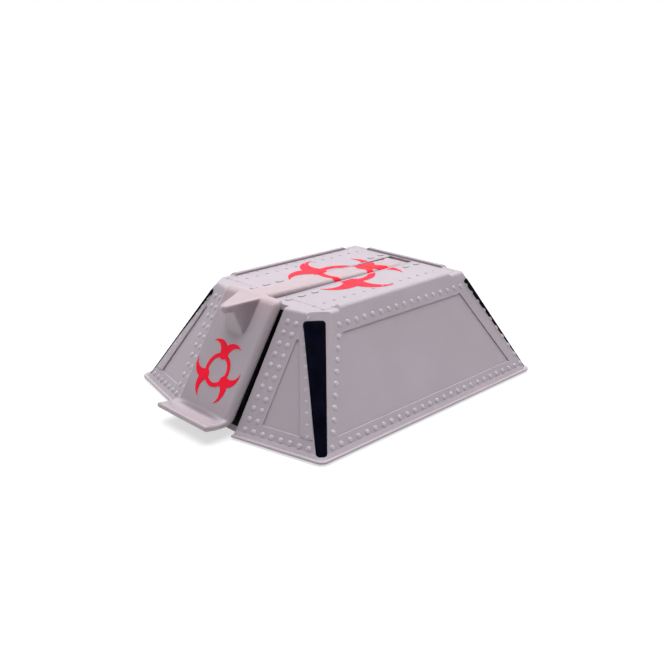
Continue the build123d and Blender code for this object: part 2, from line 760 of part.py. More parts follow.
for name, (side, end) in corners.items():
    nodes["corner_bar_" + name] = corner_bar(side, end)
for name, place in zip(("front_left", "front_right", "rear_left", "rear_right"), foot_places()):
    nodes["foot_" + name] = foot(place)

overall = Compound(list(nodes.values())).bounding_box()
to_floor = Pos(0, -(overall.min.Y + overall.max.Y) / 2, foot_stand)

os.makedirs("parts", exist_ok=True)
for name, shape in nodes.items():
    export_step(to_floor * shape, f"parts/{name}.step")
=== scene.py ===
"""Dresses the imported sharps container: its lid arm, rivets, straps, marks, finishes, floor and light.

Shapes are worked out in millimetres in the casing's own frame: +X right, +Y rear, +Z up from the underside of
the rim, with the origin in the middle of the base. in_frame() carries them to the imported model's frame.
"""
import json
import math

import bpy
import numpy as np
from mathutils import Matrix


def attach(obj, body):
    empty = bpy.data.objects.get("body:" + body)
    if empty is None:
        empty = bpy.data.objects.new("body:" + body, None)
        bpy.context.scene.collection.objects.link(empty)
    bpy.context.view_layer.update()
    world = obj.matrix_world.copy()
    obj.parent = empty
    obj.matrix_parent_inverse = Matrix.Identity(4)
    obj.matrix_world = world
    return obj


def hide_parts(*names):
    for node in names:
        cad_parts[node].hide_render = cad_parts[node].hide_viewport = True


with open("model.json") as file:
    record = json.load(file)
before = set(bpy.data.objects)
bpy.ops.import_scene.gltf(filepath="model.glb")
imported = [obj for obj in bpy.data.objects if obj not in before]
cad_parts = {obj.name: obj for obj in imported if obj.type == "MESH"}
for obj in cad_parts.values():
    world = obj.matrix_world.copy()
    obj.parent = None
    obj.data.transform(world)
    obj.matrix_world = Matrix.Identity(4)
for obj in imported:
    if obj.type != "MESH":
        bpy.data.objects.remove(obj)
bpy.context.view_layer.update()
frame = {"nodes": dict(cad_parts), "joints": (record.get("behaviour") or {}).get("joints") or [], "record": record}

bl_info = {
    "name": "Armoured Sharps Container",
    "version": (1, 0, 0),
    "blender": (4, 5, 0),
    "location": "View3D > Sidebar > Sharps Container",
    "description": "Adds the lid arm, rivets, marks, finishes and a studio to the sharps container",
    "category": "Object",
}

# ---- the casing's own measures, in millimetres ----
MM = 0.001
BASE_HALF_WIDTH = 78.0
BASE_REAR_Y = 89.6
BASE_FRONT_Y = -88.5
DECK_HALF_WIDTH = 45.9
DECK_REAR_Y = 61.7
DECK_Z = 62.5
PROW_SLOPE = 0.23
FRONT_LEAN = 0.587
SIDE_LEAN = (BASE_HALF_WIDTH - DECK_HALF_WIDTH) / DECK_Z
REAR_LEAN = (BASE_REAR_Y - DECK_REAR_Y) / DECK_Z
NOSE_Y = BASE_FRONT_Y - PROW_SLOPE * BASE_HALF_WIDTH
SLOT_HALF_WIDTH = 24.1
HINGE_Y, HINGE_Z = 50.5, 57.5
HINGE_RADIUS = 5.0
PIN_BORE = 1.55
LIFT_AT_REST = math.radians(1.6)

# ---- the deck mark, as shares of its reach ----
RING_OUT, RING_IN = 0.52, 0.39
LOBE_HALF_WIDTH = 0.17
LOBE_ROOT_ARC = ((-0.17, 0.44), (0, 0.33), (0.17, 0.44))
HORN_FRONT_ARC = ((0.17, 0.44), (0.24, 0.66), (0.62, 0.78))
HORN_BACK_ARC = ((0.0, 0.75), (0.27, 0.885), (0.62, 0.78))

# ---- rows of domes: first place, last place and number, each place being (along the wall, up the wall) ----
SIDE_ROWS = (
    ((-79.2, 5.0), (84.6, 5.0), 27),
    ((-48.8, 55.8), (60.0, 55.5), 18),
    ((-51.7, 50.5), (-75.6, 11.0), 9),
    ((62.6, 51.0), (81.6, 10.9), 8),
)
FACET_ROWS = (
    ((29.0, 9.7), (29.0, 56.5), 10),
    ((34.3, 9.5), (34.3, 56.2), 10),
    ((28.8, 4.6), (67.8, 4.6), 8),
    ((64.7, 9.3), (41.2, 53.2), 10),
)
REAR_ROWS = (
    ((-66.0, 5.1), (66.0, 5.1), 22),
    ((-33.0, 56.0), (33.0, 56.0), 12),
)
REAR_END_LOW_Z, REAR_END_HIGH_Z, REAR_END_COUNT = 11.0, 50.5, 10
REAR_END_INSET, REAR_END_LEAN = 6.3, 0.10
DECK_ROW_START_Y, DECK_ROW_PITCH, DECK_ROW_COUNT = -51.2, 7.7, 14
DECK_INNER_X, DECK_OUTER_X, DECK_OUTER_SHIFT = 32.5, 40.2, 0.9

# ---- the thumb tab and its web ----
TAB_ROOT_SETBACK = 3.0
TAB_ROOT_SPREAD = 1.3
TAB_SIDE_LEAN = 0.25
TAB_ROUND = 2.1
WEB_FRONT_SLOPE, WEB_FRONT_COS = 0.72, 0.81
WEB_SIDE_SLOPE, WEB_SIDE_COS = 0.5, 0.89
WEB_FOOT_SLOPE, WEB_FOOT_COS = 0.42, 0.92
WEB_TOP_OVERLAP = 1.2
WEB_ROUND = 1.6
ROOT_DEPTH = 4.0          # how far the bar, the web and the lip run into the gate

# ---- the pull lip ----
LIP_UNDER_RISE = 1.3
LIP_ROUND = 1.55
DISH_HALF_WIDTH, DISH_HALF_LENGTH, DISH_DEPTH = 20.5, 6.2, 2.6
DISH_AHEAD, DISH_LIFT = 3.0, 0.2

# ---- the corner straps ----
STRAP_FOOT_Z, STRAP_HEAD_Z = 7.9, 60.6
STRAP_FOOT_X, STRAP_EDGE_SLOPE = 60.9, 0.5143
STRAP_BEND_Z, STRAP_BEND_RUN, STRAP_BEND_OUT, STRAP_BEND_POWER = 45.0, 15.6, 5.4, 1.6
STRAP_BAR_INSET, STRAP_BAR_LEAN = 4.6, 0.055
STRAP_EDGE_WIDTH = 0.55
STRAP_END_SHARE = 0.8
STRAP_SINK, STRAP_BACK = 0.06, 0.4

# ---- the arm's measures that the casing sets ----
GATE_COS = 1 / math.hypot(1, FRONT_LEAN)
GATE_PROUD = 3.3
GATE_FACE_Y = NOSE_Y + PROW_SLOPE * SLOT_HALF_WIDTH - GATE_PROUD / GATE_COS
GATE_FOOT_Z = 1.2

LID_HINGE = next(joint for joint in frame["joints"] if joint["name"] == "lid_hinge")
ORIGIN = np.array(LID_HINGE["pos_m"]) - MM * np.array([0, HINGE_Y, HINGE_Z])


def in_frame(points):
    """The casing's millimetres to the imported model's metres."""
    return np.asarray(points, float) * MM + ORIGIN


def lifted(points):
    """Turns points of the shut arm about the hinge pin to its angle at rest: a plain turn in the YZ plane."""
    points = np.array(points, float)
    y, z = points[..., 1] - HINGE_Y, points[..., 2] - HINGE_Z
    cos, sin = math.cos(LIFT_AT_REST), math.sin(LIFT_AT_REST)
    points[..., 1] = HINGE_Y + y * cos + z * sin
    points[..., 2] = HINGE_Z - y * sin + z * cos
    return points


# ---- sizes and colours that a user would change ----
def length(name, text, value, low=0.0, high=200.0):
    """A size in millimetres."""
    return bpy.props.FloatProperty(name=name, description=text, default=value, min=low, max=high, precision=2)


def colour(name, text, value):
    """A colour, as linear red, green and blue."""
    return bpy.props.FloatVectorProperty(
        name=name, description=text, default=value, subtype="COLOR", size=3, min=0.0, max=1.0
    )


class SharpsArmSizes(bpy.types.PropertyGroup):
    """Sizes of the lid arm, in millimetres."""

    gate_half_width: length("Gate half width", "Half the width of the gate in the front slot", 22.0)
    gate_thickness: length("Gate thickness", "Thickness of the gate, square to its face", 6.0)
    gate_round: length("Gate rounding", "Rounding of the gate's edges", 2.9)
    bar_half_width: length("Bar half width", "Half the width of the bar along the deck", 8.3)
    bar_depth: length("Bar depth", "Depth of the bar below the deck", 8.0)
    bar_round: length("Bar rounding", "Rounding of the bar's upper edges", 3.0)
    tab_reach: length("Tab reach", "How far the thumb tab stands out from the gate's head", 20.2)
    tab_half_width: length("Tab half width", "Half the width of the tab where it leaves the gate", 9.5)
    tab_tip_radius: length("Tab tip radius", "Radius of the tab's tip in plan", 3.9)
    tab_thickness: length("Tab thickness", "Thickness of the tab near its tip", 4.6)
    tab_droop: bpy.props.FloatProperty(
        name="Tab droop", description="How far the tab slopes down", default=math.radians(9.0), subtype="ANGLE"
    )
    web_half_width: length("Web half width", "Half the width of the tab's web on the gate's face", 9.4)
    web_foot_half_width: length("Web foot half width", "Half the width of the web at its foot", 7.75)
    web_drop: length("Web drop", "How far down the gate the web runs", 19.5)
    lip_reach: length("Lip reach", "How far the pull lip stands out from the gate's foot", 11.6)
    lip_thickness: length("Lip thickness", "Thickness of the pull lip's rounded front edge", 3.2)
    mesh_step: length("Mesh step", "Spacing of the grid that the arm's surface is taken from", 0.6, 0.3, 2.0)


class SharpsTrimSizes(bpy.types.PropertyGroup):
    """Sizes of the rivets, straps and painted mark, in millimetres."""

    wall_rivet_radius: length("Wall rivet radius", "Radius of the domes moulded on the walls", 1.6)
    wall_rivet_height: length("Wall rivet height", "Height of the domes moulded on the walls", 0.55)
    deck_rivet_radius: length("Deck rivet radius", "Radius of the small rivets on the deck", 0.95)
    deck_rivet_height: length("Deck rivet height", "Height of the small rivets on the deck", 0.34)
    strap_height: length("Strap height", "How far the corner straps stand out from the facets", 0.4)
    mark_reach: length("Mark reach", "Radius of the deck mark's horn tips", 35.0)
    mark_y: length("Mark place", "The deck mark's middle along the deck", 5.0, -60.0, 60.0)
    paint_thickness: length("Paint thickness", "How far the bar's paint stands out", 0.1)
    paint_drop: length("Paint drop", "How far the paint runs down the bar's sides", 5.6)


class SharpsColours(bpy.types.PropertyGroup):
    """Base colours of the finishes."""

    casing: colour("Casing", "Grey plastic with a mauve tint", (0.330, 0.291, 0.326))
    arm: colour("Lid arm", "Pale plastic that lets a little light in", (0.320, 0.276, 0.306))
    black_gloss: colour("Glossy black", "Corner bars and bin", (0.0010, 0.0012, 0.0038))
    black_matte: colour("Matte black", "Channel, window frame and flap", (0.0035, 0.0032, 0.0042))
    hazard: colour("Hazard red", "The marks", (0.720, 0.003, 0.026))
    steel: colour("Steel", "Pins, spring and screws", (0.56, 0.56, 0.57))
    rubber: colour("Rubber", "Feet and seal", (0.020, 0.020, 0.020))
    washer: colour("Washer plastic", "Friction washers at the hinge", (0.72, 0.72, 0.68))


class SharpsStudio(bpy.types.PropertyGroup):
    """Camera and light."""

    camera_place: bpy.props.FloatVectorProperty(
        name="Camera place", description="In the casing's frame, in millimetres",
        default=(344.322, -344.370, 201.031),
    )
    azimuth: bpy.props.FloatProperty(
        name="Azimuth", description="Turn of the view to the right", default=math.radians(45.356),
        subtype="ANGLE",
    )
    elevation: bpy.props.FloatProperty(
        name="Elevation", description="Height of the view", default=math.radians(19.791), subtype="ANGLE"
    )
    roll: bpy.props.FloatProperty(
        name="Roll", description="Turn about the line of sight", default=math.radians(0.268), subtype="ANGLE"
    )
    lens: bpy.props.FloatProperty(
        name="Lens", description="Focal length on a 36 mm sensor", default=45.97, subtype="DISTANCE_CAMERA"
    )
    sky_front: bpy.props.FloatProperty(
        name="Sky in front", description="Brightness of the room before the object", default=0.22
    )
    sky_rear: bpy.props.FloatProperty(
        name="Sky behind", description="Brightness of the white wall behind the object", default=0.95
    )
    key: bpy.props.FloatProperty(
        name="Key light", description="Strength of the broad light overhead", default=4.7
    )
    floor_colour: colour("Floor", "Pale floor", (0.32, 0.32, 0.32))
    floor_glow: bpy.props.FloatProperty(
        name="Floor glow", description="Light from the lit floor", default=0.60
    )


# ---- meshes from arrays ----
def new_piece(name, points, faces, body, material, smooth=True):
    """Makes a mesh object from points in the model's metres and rows of corner numbers, and lets it ride."""
    mesh = bpy.data.meshes.new(name)
    mesh.from_pydata(np.asarray(points, float).reshape(-1, 3).tolist(), [], [list(map(int, f)) for f in faces])
    mesh.polygons.foreach_set("use_smooth", np.full(len(mesh.polygons), smooth))
    mesh.materials.append(material)
    mesh.update()
    piece = bpy.data.objects.new(name, mesh)
    bpy.context.scene.collection.objects.link(piece)
    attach(piece, body)
    return piece


def grid_faces(rows, columns, wrap=False):
    """Four-cornered faces of a grid of points numbered row by row; wrap joins each row's end to its start."""
    row, column = np.meshgrid(np.arange(rows - 1), np.arange(columns - (0 if wrap else 1)), indexing="ij")
    beside = (column + 1) % columns
    start, below = row * columns, (row + 1) * columns
    return np.stack([start + column, start + beside, below + beside, below + column], -1).reshape(-1, 4)


def slab(outer, inner):
    """Points and faces of a closed sheet between two grids of the same size, the outer one facing out.

    Its rim is the outline of one grid joined to the outline of the other."""
    rows, columns = outer.shape[:2]
    count = rows * columns
    index = np.arange(count).reshape(rows, columns)
    front = grid_faces(rows, columns)
    back = front[:, ::-1] + count
    loop = np.concatenate([index[0, :-1], index[:-1, -1], index[-1, :0:-1], index[:0:-1, 0]])
    ahead = np.roll(loop, -1)
    rim = np.stack([ahead, loop, loop + count, ahead + count], -1)
    return np.concatenate([outer.reshape(-1, 3), inner.reshape(-1, 3)]), np.concatenate([front, back, rim])


def domes(centres, right, up, out, radius, height, around=10):
    """Points and faces of closed low domes, one at each centre.

    A dome is radius * share across and height * (1 - share ** 2) ** 0.8 out, for shares 0.45, 0.8 and 1 of its
    radius, round in turn; its foot is sunk below the wall and closed."""
    shares = np.array([0.45, 0.8, 1.0, 1.0])
    heights = np.append(height * (1 - shares[:3] ** 2) ** 0.8, -0.25 * height - 0.1)
    turn = np.linspace(0, 2 * math.pi, around, endpoint=False)
    across = radius * shares[:, None] * np.cos(turn)
    along = radius * shares[:, None] * np.sin(turn)
    level = np.repeat(heights[:, None], around, 1)
    flat = np.stack([across, along, level], -1).reshape(-1, 3)
    flat = np.concatenate([[[0, 0, height]], flat, [[0, 0, heights[-1]]]])
    axes = np.stack([right, up, out])
    points = np.asarray(centres)[:, None, :] + flat @ axes
    rings = grid_faces(len(shares), around, wrap=True)[:, ::-1] + 1
    index = np.arange(around)
    ahead = (index + 1) % around
    last = 1 + around * (len(shares) - 1)
    top = np.stack([np.zeros(around, int), index + 1, ahead + 1], -1)
    foot = np.stack([np.full(around, len(flat) - 1), last + ahead, last + index], -1)
    faces = []
    for block in (top, rings, foot):
        shifted = block[None] + len(flat) * np.arange(len(points))[:, None, None]
        faces += list(shifted.reshape(-1, block.shape[1]))
    return points.reshape(-1, 3), faces


def joined(parts):
    """Several (points, faces) pairs as one."""
    points, faces, count = [], [], 0
    for part_points, part_faces in parts:
        points.append(part_points)
        faces += [np.asarray(f) + count for f in part_faces]
        count += len(part_points)
    return np.concatenate(points), faces


# ---- the casing's walls ----
def wall_frame(lean, slope, turn):
    """Level direction, up direction and outward normal of a wall that faces turn radians round from +X.

    It leans back by lean per unit of height; a slope turns its level direction that far to the rear per unit of
    width."""
    facing = np.array([math.cos(turn), math.sin(turn), 0])
    level = np.array([-math.sin(turn), math.cos(turn), 0])
    if slope:
        level = np.array([1.0, slope, 0.0])
    up = np.array([0, 0, 1.0]) - lean * facing
    level /= np.linalg.norm(level)
    out = np.cross(level, up)
    out /= np.linalg.norm(out)
    return level, np.cross(out, level), out


def side_point(side, y, z):
    """Points on the left (-1) or right (1) wall."""
    y, z = np.broadcast_arrays(np.asarray(y, float), np.asarray(z, float))
    return np.stack([side * (BASE_HALF_WIDTH - SIDE_LEAN * z), y, z], -1)


def rear_point(x, z):
    """Points on the rear wall."""
    x, z = np.broadcast_arrays(np.asarray(x, float), np.asarray(z, float))
    return np.stack([x, BASE_REAR_Y - REAR_LEAN * z, z], -1)


def facet_point(side, x, z):
    """Points on the left or right front facet, x counted from the middle."""
    x, z = np.broadcast_arrays(np.asarray(x, float), np.asarray(z, float))
    return np.stack([side * x, NOSE_Y + FRONT_LEAN * z + PROW_SLOPE * x, z], -1)


def in_rows(rows):
    """Evenly spaced places along each row, all in one array."""
    places = []
    for first, last, count in rows:
        share = np.linspace(0, 1, count)[:, None]
        places.append(np.asarray(first) * (1 - share) + np.asarray(last) * share)
    return np.concatenate(places)


def side_rivets(side):
    """Places of the domes on a side wall: a row along the foot, one along the head and one up each end."""
    return side_point(side, *in_rows(SIDE_ROWS).T)


def facet_rivets(side):
    """Places of the domes on a front facet: two columns by the slot, a row along the foot, one by the bar."""
    return facet_point(side, *in_rows(FACET_ROWS).T)


def rear_rivets():
    """Places of the domes on the rear wall, laid out as on the sides."""
    end_z = np.linspace(REAR_END_LOW_Z, REAR_END_HIGH_Z, REAR_END_COUNT)
    end_x = BASE_HALF_WIDTH - SIDE_LEAN * end_z - REAR_END_INSET - REAR_END_LEAN * end_z
    ends = [np.stack([sign * end_x, end_z], -1) for sign in (-1, 1)]
    return rear_point(*np.concatenate([in_rows(REAR_ROWS), *ends]).T)


# ---- distance formulas for the arm ----
def meet(radius, *distances):
    """Where all of several spaces overlap, with its edges rounded: the distances' parts above -radius are
    added as a root of squares."""
    near_edges = [np.maximum(d + radius, 0) for d in distances]
    inside = np.minimum(np.maximum.reduce(distances) + radius, 0)
    return inside + np.sqrt(sum(d * d for d in near_edges)) - radius


def blend(first, second, width):
    """Two spaces joined with a fillet: the smaller distance, less a bump where the two are nearly equal."""
    share = np.clip(0.5 + 0.5 * (second - first) / width, 0, 1)
    return second * (1 - share) + first * share - width * share * (1 - share)


def carve(first, second, width):
    """The first space without the second, with the edge between them rounded."""
    return -blend(-first, second, width)


def tapered_capsule(across, along, near, far, reach):
    """Distance in plan to the tangent outline round two circles: near at 0 and far at reach along."""
    slope = (near - far) / reach
    cos = math.sqrt(1 - slope * slope)
    side = -slope * across + cos * along
    to_near = np.hypot(across, along) - near
    to_far = np.hypot(across, along - reach) - far
    between_them = cos * across + slope * along - near
    return np.where(side < 0, to_near, np.where(side > cos * reach, to_far, between_them))


def arm_distance(points, sizes):
    """Signed distance, or nearly, to the shut lid arm: gate, bar, hinge barrel, thumb tab, web and pull lip."""
    x, y, z = np.abs(points[..., 0]), points[..., 1], points[..., 2]
    proud = -(y - GATE_FACE_Y - FRONT_LEAN * z) * GATE_COS
    gate = meet(
        sizes.gate_round, x - sizes.gate_half_width, proud, -sizes.gate_thickness - proud, z - DECK_Z,
        GATE_FOOT_Z - z,
    )
    bar_front = GATE_FACE_Y + FRONT_LEAN * DECK_Z + sizes.gate_thickness
    bar = meet(
        sizes.bar_round, x - sizes.bar_half_width, z - DECK_Z, DECK_Z - sizes.bar_depth - z,
        bar_front - ROOT_DEPTH - y, y - HINGE_Y,
    )
    barrel = meet(0.5, np.hypot(y - HINGE_Y, z - HINGE_Z) - HINGE_RADIUS, x - sizes.bar_half_width)
    arm = blend(gate, np.minimum(bar, barrel), 1.2)
    horn = blend(tab_distance(x, y, z, sizes), web_distance(x, y, proud, z, sizes), 1.0)
    arm = blend(arm, horn, 0.9)
    arm = blend(arm, lip_distance(x, y, z, sizes), 1.2)
    arm = np.maximum(arm, z - DECK_Z)
    bore = np.hypot(y - HINGE_Y, z - HINGE_Z) - PIN_BORE
    return np.maximum(arm, -bore)


def tab_frame(y, z, sizes):
    """How far points are along the thumb tab from its root, and above its sloping top."""
    root_y = GATE_FACE_Y + FRONT_LEAN * DECK_Z + TAB_ROOT_SETBACK
    cos, sin = math.cos(sizes.tab_droop), math.sin(sizes.tab_droop)
    ahead, rise = root_y - y, z - DECK_Z
    return ahead * cos - rise * sin, ahead * sin + rise * cos


def tab_distance(x, y, z, sizes):
    """The thumb tab: a triangle with a round tip, sloping down from the gate's head."""
    along, above = tab_frame(y, z, sizes)
    reach = sizes.tab_reach + TAB_ROOT_SETBACK - sizes.tab_tip_radius
    root = sizes.tab_half_width + TAB_ROOT_SPREAD
    outline = tapered_capsule(x - TAB_SIDE_LEAN * above, along, root, sizes.tab_tip_radius, reach)
    return meet(TAB_ROUND, outline, above, -sizes.tab_thickness - above, -along)


def web_distance(x, y, proud, z, sizes):
    """The web under the tab: its front slopes from the tab's underside to the gate's face, and its sides
    spread toward the gate; near its foot they turn in."""
    foot_z = DECK_Z - sizes.web_drop
    front = (proud - WEB_FRONT_SLOPE * (z - foot_z)) * WEB_FRONT_COS
    side = (x - sizes.web_half_width + WEB_SIDE_SLOPE * proud) * WEB_SIDE_COS
    corner = (x - sizes.web_foot_half_width - WEB_FOOT_SLOPE * (z - foot_z)) * WEB_FOOT_COS
    above = tab_frame(y, z, sizes)[1]
    return meet(WEB_ROUND, front, side, corner, above + WEB_TOP_OVERLAP, -ROOT_DEPTH - proud)


def lip_distance(x, y, z, sizes):
    """The pull lip: a thick rounded tongue at the gate's foot with a shallow dish in its top."""
    foot_y = GATE_FACE_Y + FRONT_LEAN * GATE_FOOT_Z
    ahead = foot_y - y
    share = np.clip(ahead / sizes.lip_reach, -0.5, 1.2)
    under = GATE_FOOT_Z - 0.2 + LIP_UNDER_RISE * np.clip(share, 0, 1) ** 2
    top = under + sizes.lip_thickness + 0.2
    body = meet(
        LIP_ROUND, x - sizes.gate_half_width, ahead - sizes.lip_reach, -ROOT_DEPTH - ahead, z - top, under - z
    )
    across, along = x / DISH_HALF_WIDTH, (ahead - DISH_AHEAD) / DISH_HALF_LENGTH
    dish = np.sqrt(across**2 + along**2 + ((z - top - DISH_LIFT) / DISH_DEPTH) ** 2) - 1
    return carve(body, dish * DISH_DEPTH, 0.7)


def surface_of(distance, low, high, step):
    """Points and four-cornered faces where a distance formula is zero, by surface nets.

    Each grid cell that the surface crosses gets one point, the mean of the crossings on its twelve edges, which
    is then drawn onto the surface along the distance's gradient; each crossed grid edge gets one face, between
    the four cells round it."""
    axes = [np.arange(a, b + step, step) for a, b in zip(low, high)]
    grid = np.stack(np.meshgrid(*axes, indexing="ij"), -1)
    value = distance(grid)
    solid = value < 0
    cells = tuple(n - 1 for n in value.shape)
    total, crossings = np.zeros(cells + (3,)), np.zeros(cells)
    for axis in range(3):
        one, two = [slice(None)] * 3, [slice(None)] * 3
        one[axis], two[axis] = slice(None, -1), slice(1, None)
        one, two = tuple(one), tuple(two)
        crossed = solid[one] != solid[two]
        share = np.where(crossed, value[one] / np.where(crossed, value[one] - value[two], 1), 0)
        place = grid[one].copy()
        place[..., axis] += share * step
        others = [k for k in range(3) if k != axis]
        for shift in ((0, 0), (0, 1), (1, 0), (1, 1)):
            pick = [slice(None)] * 3
            for k, s in zip(others, shift):
                pick[k] = slice(s, cells[k] + s)
            pick = tuple(pick)
            total += np.where(crossed[pick][..., None], place[pick], 0)
            crossings += crossed[pick]
    used = crossings > 0
    number = np.full(cells, -1)
    number[used] = np.arange(used.sum())
    points = total[used] / crossings[used][:, None]
    faces = []
    for axis in range(3):
        one, two = [slice(1, -1)] * 3, [slice(1, -1)] * 3
        one[axis], two[axis] = slice(None, -1), slice(1, None)
        starts, ends = solid[tuple(one)], solid[tuple(two)]
        where = np.argwhere(starts != ends)
        outward = starts[tuple(where.T)]
        a, b = [k for k in range(3) if k != axis]
        base = where.copy()
        base[:, a] += 1
        base[:, b] += 1
        ring = []
        for back_a, back_b in ((1, 1), (0, 1), (0, 0), (1, 0)):
            cell = base.copy()
            cell[:, a] -= back_a
            cell[:, b] -= back_b
            ring.append(number[tuple(cell.T)])
        ring = np.stack(ring, -1)
        keep_order = outward if axis != 1 else ~outward
        faces.append(np.where(keep_order[:, None], ring, ring[:, ::-1]))
    return drawn_onto(points, distance, step), np.concatenate(faces)


def drawn_onto(points, distance, step, rounds=3):
    """Moves points onto the zero of a distance along its gradient, measured across a small gap."""
    gap = 0.05 * step
    for _ in range(rounds):
        value = distance(points)
        slope = np.stack([
            distance(points + gap * axis) - distance(points - gap * axis) for axis in np.eye(3)
        ], -1) / (2 * gap)
        size = np.maximum((slope * slope).sum(-1), 0.2)
        move = np.clip(value / size, -0.5 * step, 0.5 * step)
        points = points - move[:, None] * slope
    return points


# ---- the painted mark where it crosses the bar ----
def arc_points(first, by_way, last, count=33):
    """Points along the circle through three points, from the first to the last."""
    (ax, ay), (bx, by), (cx, cy) = first, by_way, last
    twice_area = 2 * (ax * (by - cy) + bx * (cy - ay) + cx * (ay - by))
    a2, b2, c2 = ax * ax + ay * ay, bx * bx + by * by, cx * cx + cy * cy
    middle_x = (a2 * (by - cy) + b2 * (cy - ay) + c2 * (ay - by)) / twice_area
    middle_y = (a2 * (cx - bx) + b2 * (ax - cx) + c2 * (bx - ax)) / twice_area
    angles = np.unwrap([math.atan2(y - middle_y, x - middle_x) for x, y in (first, by_way, last)])
    turn = np.linspace(angles[0], angles[2], count)
    radius = math.hypot(ax - middle_x, ay - middle_y)
    return middle_x + radius * np.cos(turn), middle_y + radius * np.sin(turn)


def height_at(x, arc):
    """The y of an arc at each x, along the part of it that runs one way."""
    arc_x, arc_y = arc_points(*arc)
    order = np.argsort(arc_x)
    return np.interp(x, arc_x[order], arc_y[order])


def bar_section(trim, arm, count=41):
    """Points (x, z) and outward directions along the bar's section, from one side over the top to the other.

    Going out from the middle it is flat, then a quarter circle, then straight down."""
    flat = arm.bar_half_width - arm.bar_round
    corner = arm.bar_round * math.pi / 2
    travel = np.linspace(-1, 1, count) * (flat + corner + trim.paint_drop - arm.bar_round)
    side, run = np.sign(travel), np.abs(travel)
    turn = np.clip((run - flat) / arm.bar_round, 0, math.pi / 2)
    x = np.minimum(run, flat) + arm.bar_round * np.sin(turn)
    z = DECK_Z - arm.bar_round * (1 - np.cos(turn)) - np.maximum(run - flat - corner, 0)
    return side * x, z, side * np.sin(turn), np.cos(turn)


def bar_paint(trim, arm):
    """The parts of the deck mark that cross the bar, as thin closed sheets.

    Each runs from one curve's y to another's at each x: the ring in front, the ring behind with the root of its
    lobe, and the rest of that lobe out to the back of its horns."""
    x, z, out_x, out_z = bar_section(trim, arm)
    share = np.abs(x) / trim.mark_reach
    ring_far, ring_near = np.sqrt(RING_OUT**2 - share**2), np.sqrt(RING_IN**2 - share**2)
    root = np.where(share < LOBE_HALF_WIDTH, height_at(share, LOBE_ROOT_ARC), ring_near)
    under = np.maximum(height_at(share, HORN_FRONT_ARC), ring_far)
    under = np.where(share < LOBE_HALF_WIDTH, ring_far, under)
    back = height_at(share, HORN_BACK_ARC)
    bands = [(-ring_far, -ring_near), (np.minimum(root, ring_near), ring_far), (under, back)]
    across = np.linspace(0, 1, 9)[:, None]
    parts = []
    for near, far in bands:
        y = trim.mark_y + trim.mark_reach * (near * (1 - across) + far * across)
        sheets = []
        for proud in (trim.paint_thickness, -0.3):
            level = np.broadcast_to(z + proud * out_z, y.shape)
            width = np.broadcast_to(x + proud * out_x, y.shape)
            sheets.append(in_frame(lifted(np.stack([width, y, level], -1))))
        parts.append(slab(*sheets))
    return joined(parts)


# ---- corner straps on the front facets ----
def strap(side, trim):
    """A raised strap beside a front corner bar, as a closed sheet.

    Across it runs from an edge that follows the recess and then curves out to the hood, to the bar; it stands
    proud by the strap's height, and sinks below the facet at its rim."""
    up = np.linspace(0, 1, 49)[:, None]
    across = np.linspace(0, 1, 25)[None]
    z = STRAP_FOOT_Z + up * (STRAP_HEAD_Z - STRAP_FOOT_Z)
    recess_edge = STRAP_FOOT_X - (z - STRAP_FOOT_Z) * STRAP_EDGE_SLOPE
    bend = np.clip((z - STRAP_BEND_Z) / STRAP_BEND_RUN, 0, 1)
    inner = recess_edge + STRAP_BEND_OUT * bend**STRAP_BEND_POWER
    outer = BASE_HALF_WIDTH - SIDE_LEAN * z - STRAP_BAR_INSET - STRAP_BAR_LEAN * z
    outer = np.maximum(outer, inner + 1.0)
    x = inner + (outer - inner) * across
    foot_margin, head_margin = (z - STRAP_FOOT_Z) * STRAP_END_SHARE, (STRAP_HEAD_Z - z) * STRAP_END_SHARE
    margin = np.minimum.reduce(np.broadcast_arrays(x - inner, outer - x, foot_margin, head_margin))
    rise = np.clip(margin / STRAP_EDGE_WIDTH, 0, 1)
    height = trim.strap_height * rise * (2 - rise) - STRAP_SINK
    base = facet_point(1, x, z)
    out = wall_frame(FRONT_LEAN, PROW_SLOPE, -math.pi / 2)[2]
    outer_sheet = base + height[..., None] * out
    inner_sheet = base - STRAP_BACK * out
    if side < 0:
        outer_sheet, inner_sheet = outer_sheet * [-1, 1, 1], inner_sheet * [-1, 1, 1]
        outer_sheet, inner_sheet = outer_sheet[:, ::-1], inner_sheet[:, ::-1]
    return slab(in_frame(outer_sheet), in_frame(inner_sheet))


# ---- finishes ----
GRAIN_SCALE, GRAIN_DEPTH = 1700, 0.00006
WAVE_DEPTH = 0.0006
LIGHT_SPREAD = (1.0, 0.72, 0.68)      # how far red, green and blue light travel inside the plastic


